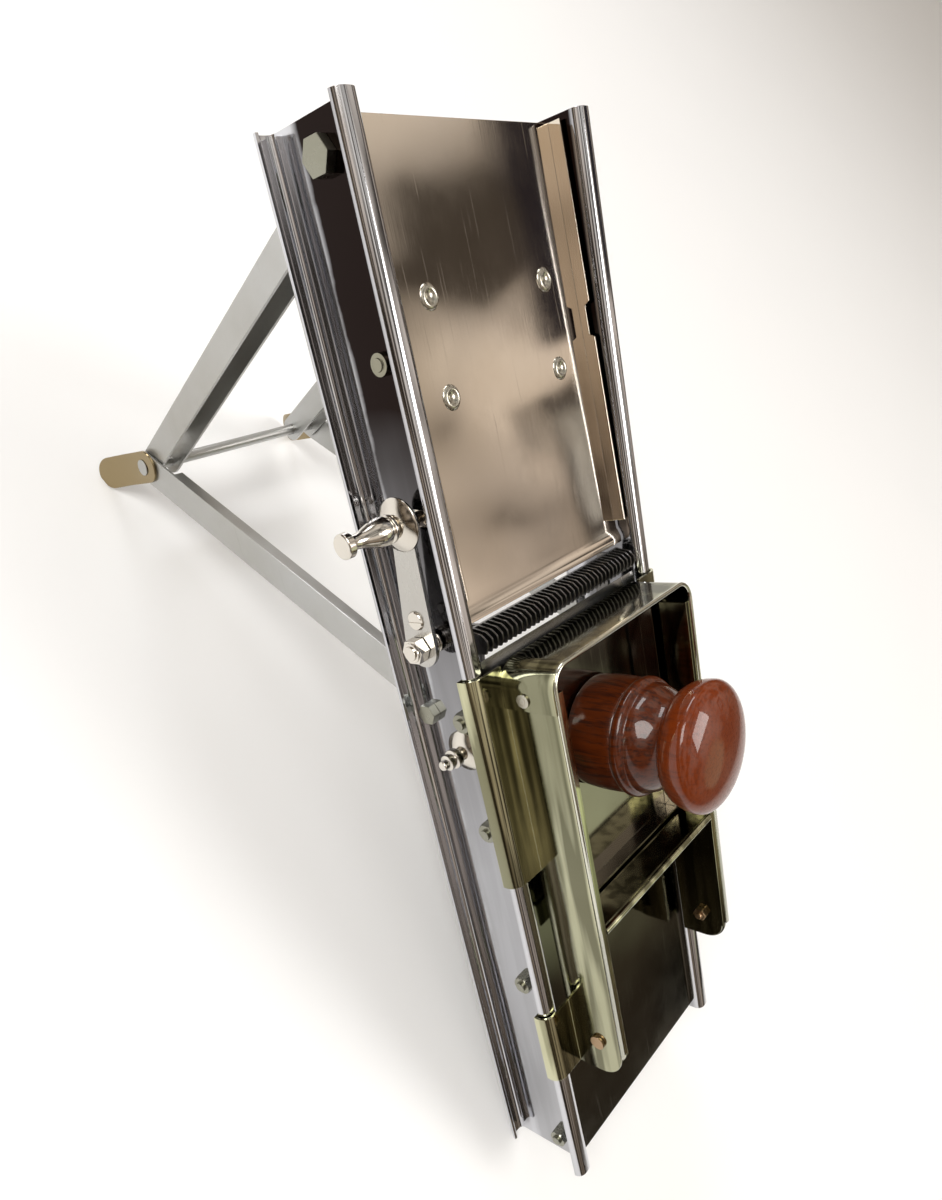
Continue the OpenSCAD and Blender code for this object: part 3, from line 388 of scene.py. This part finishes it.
bmesh.ops.spin(bm, geom=bm.verts[:] + bm.edges[:], cent=(low.x, coil_middle.y, coil_middle.z),
               axis=(1, 0, 0), dvec=(pitch, 0, 0), angle=math.tau * turns, steps=turns * steps)
bmesh.ops.holes_fill(bm, edges=[e for e in bm.edges if e.is_boundary], sides=12)
bmesh.ops.recalc_face_normals(bm, faces=bm.faces)
for face in bm.faces:
    face.smooth = len(face.verts) == 4
formed("stud_spring", bm, turned_steel, "frame", "lever_spring")
for node in ("lever_screw", "lever_disc", "lever_knob"):
    dressed(node, "lever", turned_steel, edge=0.12)
dressed("thickness_lever", "lever", bar_steel, edge=0.3)
dressed("lever_washer", "lever", washer_black, edge=0.3)

# ---- comb ----
# A row of small ground blades on a strip, carried by two arms on a cross shaft, whose
# turned end and saucer-shaped disc stand outside the left side plate.
tooth_steel = steel("tooth_steel", (0.16, 0.155, 0.15), 0.25, hairs=1.0)
for node in ("comb_shaft", "comb_disc"):
    dressed(node, "comb", turned_steel, edge=0.12)
for node in ("comb_arms", "comb_bar", "comb_teeth"):
    dressed(node, "comb", tooth_steel, edge=0.08)

# ---- folding stand ----
# Two channel legs, two flat struts and a cross axle of satin steel; the struts end in
# flared tongues on which the slicer stands.
stand_steel = steel("stand_steel", (0.5, 0.505, 0.5), 0.3, hairs=1.4, smears=0.2, stain=0.3)
for node in ("left_leg", "right_leg", "foot_axle"):
    dressed(node, "legs", stand_steel, edge=0.35)
for node in ("left_strut", "right_strut"):
    dressed(node, "struts", stand_steel, edge=0.35)
foot_steel = steel("foot_steel", (0.33, 0.26, 0.15), 0.12, hairs=0.8)
for node in ("left_foot", "right_foot"):
    dressed(node, "struts", foot_steel, edge=0.3)

# ---- carriage ----
# Two runners hooked round the rail edges, with walls riveted and hemmed to them, form a
# hopper of polished sheet that slides on the rails.
# the greenish-yellow tint, the strong streaks and the dark band on the walls towards the upper end are
# painted reflections of the surroundings
carriage_steel = steel("carriage_steel", (0.66, 0.66, 0.47), 0.05, hairs=0.7, waves=0.06,
                       tarnish=(0.5, 0.46, 0.34), stain=0.6, painted_reflection_streaks=0.7,
                       painted_dark_reflection_band=(1.7, 23.1, (0.03, 0.03, 0.012)))
for node in ("left_runner", "right_runner", "front_wall", "back_wall", "left_guide", "right_guide",
             "latch_clip"):
    dressed(node, "carriage", carriage_steel, edge=0.22)
copper_bolt = steel("copper_bolt", (0.42, 0.29, 0.18), 0.25, hairs=1.0)
dressed("guide_bolts", "carriage", copper_bolt, edge=0.25)
dressed("carriage_rivets", "carriage", rivet_steel, edge=0.2)

# the rolled bead runs up the left wall's rim, round both corners and down the right wall's
wall, bend, rim = 45.5, 7.5, 23.3
foot_of_wall, head_of_wall = 69, 233.5
bead_radius = 0.85
bm = bmesh.new()
bmesh.ops.create_circle(bm, segments=12, radius=bead_radius, matrix=Matrix.Translation(
    (-wall, foot_of_wall, rim)) @ Matrix.Rotation(math.pi / 2, 4, "X"))
edges = [e for e in bm.edges if e.is_wire]
corner_up = head_of_wall - bend
for shift, corner in (((0, corner_up - foot_of_wall, 0), (-wall + bend, corner_up, rim)),
                      ((2 * (wall - bend), 0, 0), (wall - bend, corner_up, rim)),
                      ((0, foot_of_wall - corner_up, 0), None)):
    drawn = bmesh.ops.extrude_edge_only(bm, edges=edges)["geom"]
    tip = [v for v in drawn if isinstance(v, bmesh.types.BMVert)]
    bmesh.ops.translate(bm, vec=shift, verts=tip)
    edges = [e for e in drawn if isinstance(e, bmesh.types.BMEdge)]
    if corner:
        rounded = bmesh.ops.spin(bm, geom=tip + edges, cent=corner, axis=(0, 0, 1),
                                 angle=-math.pi / 2, steps=8)
        edges = [e for e in rounded["geom_last"] if isinstance(e, bmesh.types.BMEdge)]
bmesh.ops.holes_fill(bm, edges=[e for e in bm.edges if e.is_boundary], sides=12)
bmesh.ops.recalc_face_normals(bm, faces=bm.faces)
bmesh.ops.transform(bm, matrix=rails, verts=bm.verts)
for face in bm.faces:
    face.smooth = len(face.verts) == 4
bead_steel = steel("bead_steel", (0.7, 0.71, 0.62), 0.09, hairs=0.6)
formed("rim_bead", bm, bead_steel, "carriage")

# ---- pusher ----
# A pressed plate that lies in the hopper, with a turned hardwood knob screwed to it
# through a washer.
pusher_steel = steel("pusher_steel", (0.33, 0.31, 0.27), 0.06, hairs=0.8, waves=0.04, stain=0.4)
dressed("pusher_plate", "pusher", pusher_steel, edge=0.22)
dressed("knob_washer", "pusher", pusher_steel)
dressed("knob_screw", "pusher", bolt_steel)
knob_wood = bpy.data.materials.new("knob_wood")
knob_wood.use_nodes = True
wood = Weave(knob_wood.node_tree)
lacquer = knob_wood.node_tree.nodes["Principled BSDF"]
spot = wood.node("ShaderNodeTexCoord", out="Object")
knob_foot = Vector((0, 187.5, 3.4))
turned = spot.node("ShaderNodeMapping", {}, {
    "Vector": spot, "Rotation": (-slope, 0, 0), "Location": to_rails - knob_foot / 1000})
height = turned.node("ShaderNodeSeparateXYZ", {}, {0: turned}, out="Z")
lengthwise = turned.node("ShaderNodeMapping", {}, {"Vector": turned, "Scale": (1, 1, 0.07)})
pores = turned.node("ShaderNodeTexNoise", {}, {
    "Vector": lengthwise, "Scale": 800.0, "Detail": 3.5, "Roughness": 0.65})
pores = pores.node("ShaderNodeMapRange", {}, {"Value": pores, "From Min": 0.47, "From Max": 0.64})
growth = turned.node("ShaderNodeTexNoise", {}, {
    "Vector": lengthwise, "Scale": 190.0, "Detail": 3.0, "Distortion": 0.6})
cloud = turned.node("ShaderNodeTexNoise", {}, {"Vector": turned, "Scale": 55.0, "Detail": 3.0})
turning = turned.node("ShaderNodeMapping", {}, {"Vector": turned, "Scale": (0.02, 0.02, 1)})
turning = turned.node("ShaderNodeTexNoise", {}, {"Vector": turning, "Scale": 900.0, "Detail": 2.0})
dents = turned.node("ShaderNodeTexVoronoi", {}, {
    "Vector": turned, "Scale": 260.0, "Randomness": 1.0}, out="Distance")
dents = dents.node("ShaderNodeMapRange", {}, {
    "Value": dents, "From Min": 0.05, "From Max": 0.16, "To Min": 1.0, "To Max": 0.0})
sparse = turned.node("ShaderNodeTexNoise", {}, {"Vector": turned, "Scale": 120.0})
sparse = sparse.node("ShaderNodeMapRange", {}, {"Value": sparse, "From Min": 0.52, "From Max": 0.62})
dents = dents * sparse
bare = turned.node("ShaderNodeMix", {"data_type": "RGBA"}, {
    "Factor": growth, "A": (0.15, 0.028, 0.004, 1), "B": (0.045, 0.008, 0.002, 1)}, out="Result")
head_tone = height.node("ShaderNodeMapRange", {}, {
    "Value": height + cloud * 0.006, "From Min": 0.036, "From Max": 0.046})
bare = turned.node("ShaderNodeMix", {"data_type": "RGBA"},
                   {"Factor": head_tone * 0.6, "A": bare, "B": (0.2, 0.03, 0.002, 1)}, out="Result")
open_grain = pores * (1 - head_tone * 0.55) * 0.75
bare = turned.node("ShaderNodeMix", {"data_type": "RGBA"},
                   {"Factor": open_grain, "A": bare, "B": (0.02, 0.005, 0.003, 1)}, out="Result")
bare = turned.node("ShaderNodeMix", {"data_type": "RGBA"},
                   {"Factor": dents * 0.7, "A": bare, "B": (0.03, 0.008, 0.004, 1)}, out="Result")
links = knob_wood.node_tree.links
links.new(bare.socket, lacquer.inputs["Base Color"])
links.new((cloud * 0.2 + pores * 0.12 + 0.26).socket, lacquer.inputs["Roughness"])
relief = turned.node("ShaderNodeBump", {}, {
    "Strength": 0.25, "Distance": 0.0003,
    "Height": pores * -0.35 + turning * 0.4 - dents * 1.2 + cloud * 0.8})
links.new(relief.socket, lacquer.inputs["Normal"])
lacquer.inputs["Coat Weight"].default_value = 0.7
lacquer.inputs["Coat Roughness"].default_value = 0.04
lacquer.inputs["Specular IOR Level"].default_value = 0.15

# the knob's outline from its foot to its crown: radius, and height over the washer
foot_curve = [(0, 0), (21.3, 0), (21.8, 0.5)]
foot_curve += [(21.8 + 0.5 * math.sin(math.pi * t / 8), 0.5 + 17.7 * t / 8) for t in range(1, 8)]
ridge_curve = [(21.7, 18.2), (21.4, 18.7), (21.9, 19.1), (22.5, 19.6), (22.8, 20.5), (22.7, 21.6),
               (22.2, 22.6), (21.3, 23.3), (20.7, 23.7), (20.6, 24.1)]
waist_curve = [(16.3 + 4.2 * (1 + math.cos(math.pi * t / 12)) / 2, 24.2 + 11.2 * t / 12)
               for t in range(1, 13)]
bulb_curve = [(16.6, 35.7)]
bulb_curve += [(16.6 + 7.6 * math.sin(math.pi * t / 24), 35.7 + 10.7 * (1 - math.cos(math.pi * t / 24)))
               for t in range(1, 13)]
crown_curve = [(24.2 * math.cos(math.pi * t / 40), 46.4 + 7.6 * math.sin(math.pi * t / 40))
               for t in range(1, 21)]
seat = Matrix.Translation(knob_foot)
bm = bmesh.new()
points = [bm.verts.new(seat @ Vector((radius, 0, rise)))
          for radius, rise in foot_curve + ridge_curve + waist_curve + bulb_curve + crown_curve]
lines = [bm.edges.new(pair) for pair in zip(points, points[1:])]
bmesh.ops.spin(bm, geom=points + lines, cent=seat @ Vector(), axis=(0, 0, 1), angle=math.tau,
               steps=112, use_merge=True)
bmesh.ops.remove_doubles(bm, verts=bm.verts, dist=0.001)
bmesh.ops.recalc_face_normals(bm, faces=bm.faces)
bmesh.ops.transform(bm, matrix=rails, verts=bm.verts)
for face in bm.faces:
    face.smooth = True
for e in bm.edges:
    e.smooth = len(e.link_faces) == 2 and e.calc_face_angle(0) < math.radians(50)
formed("turned_knob", bm, knob_wood, "pusher", "pusher_knob")
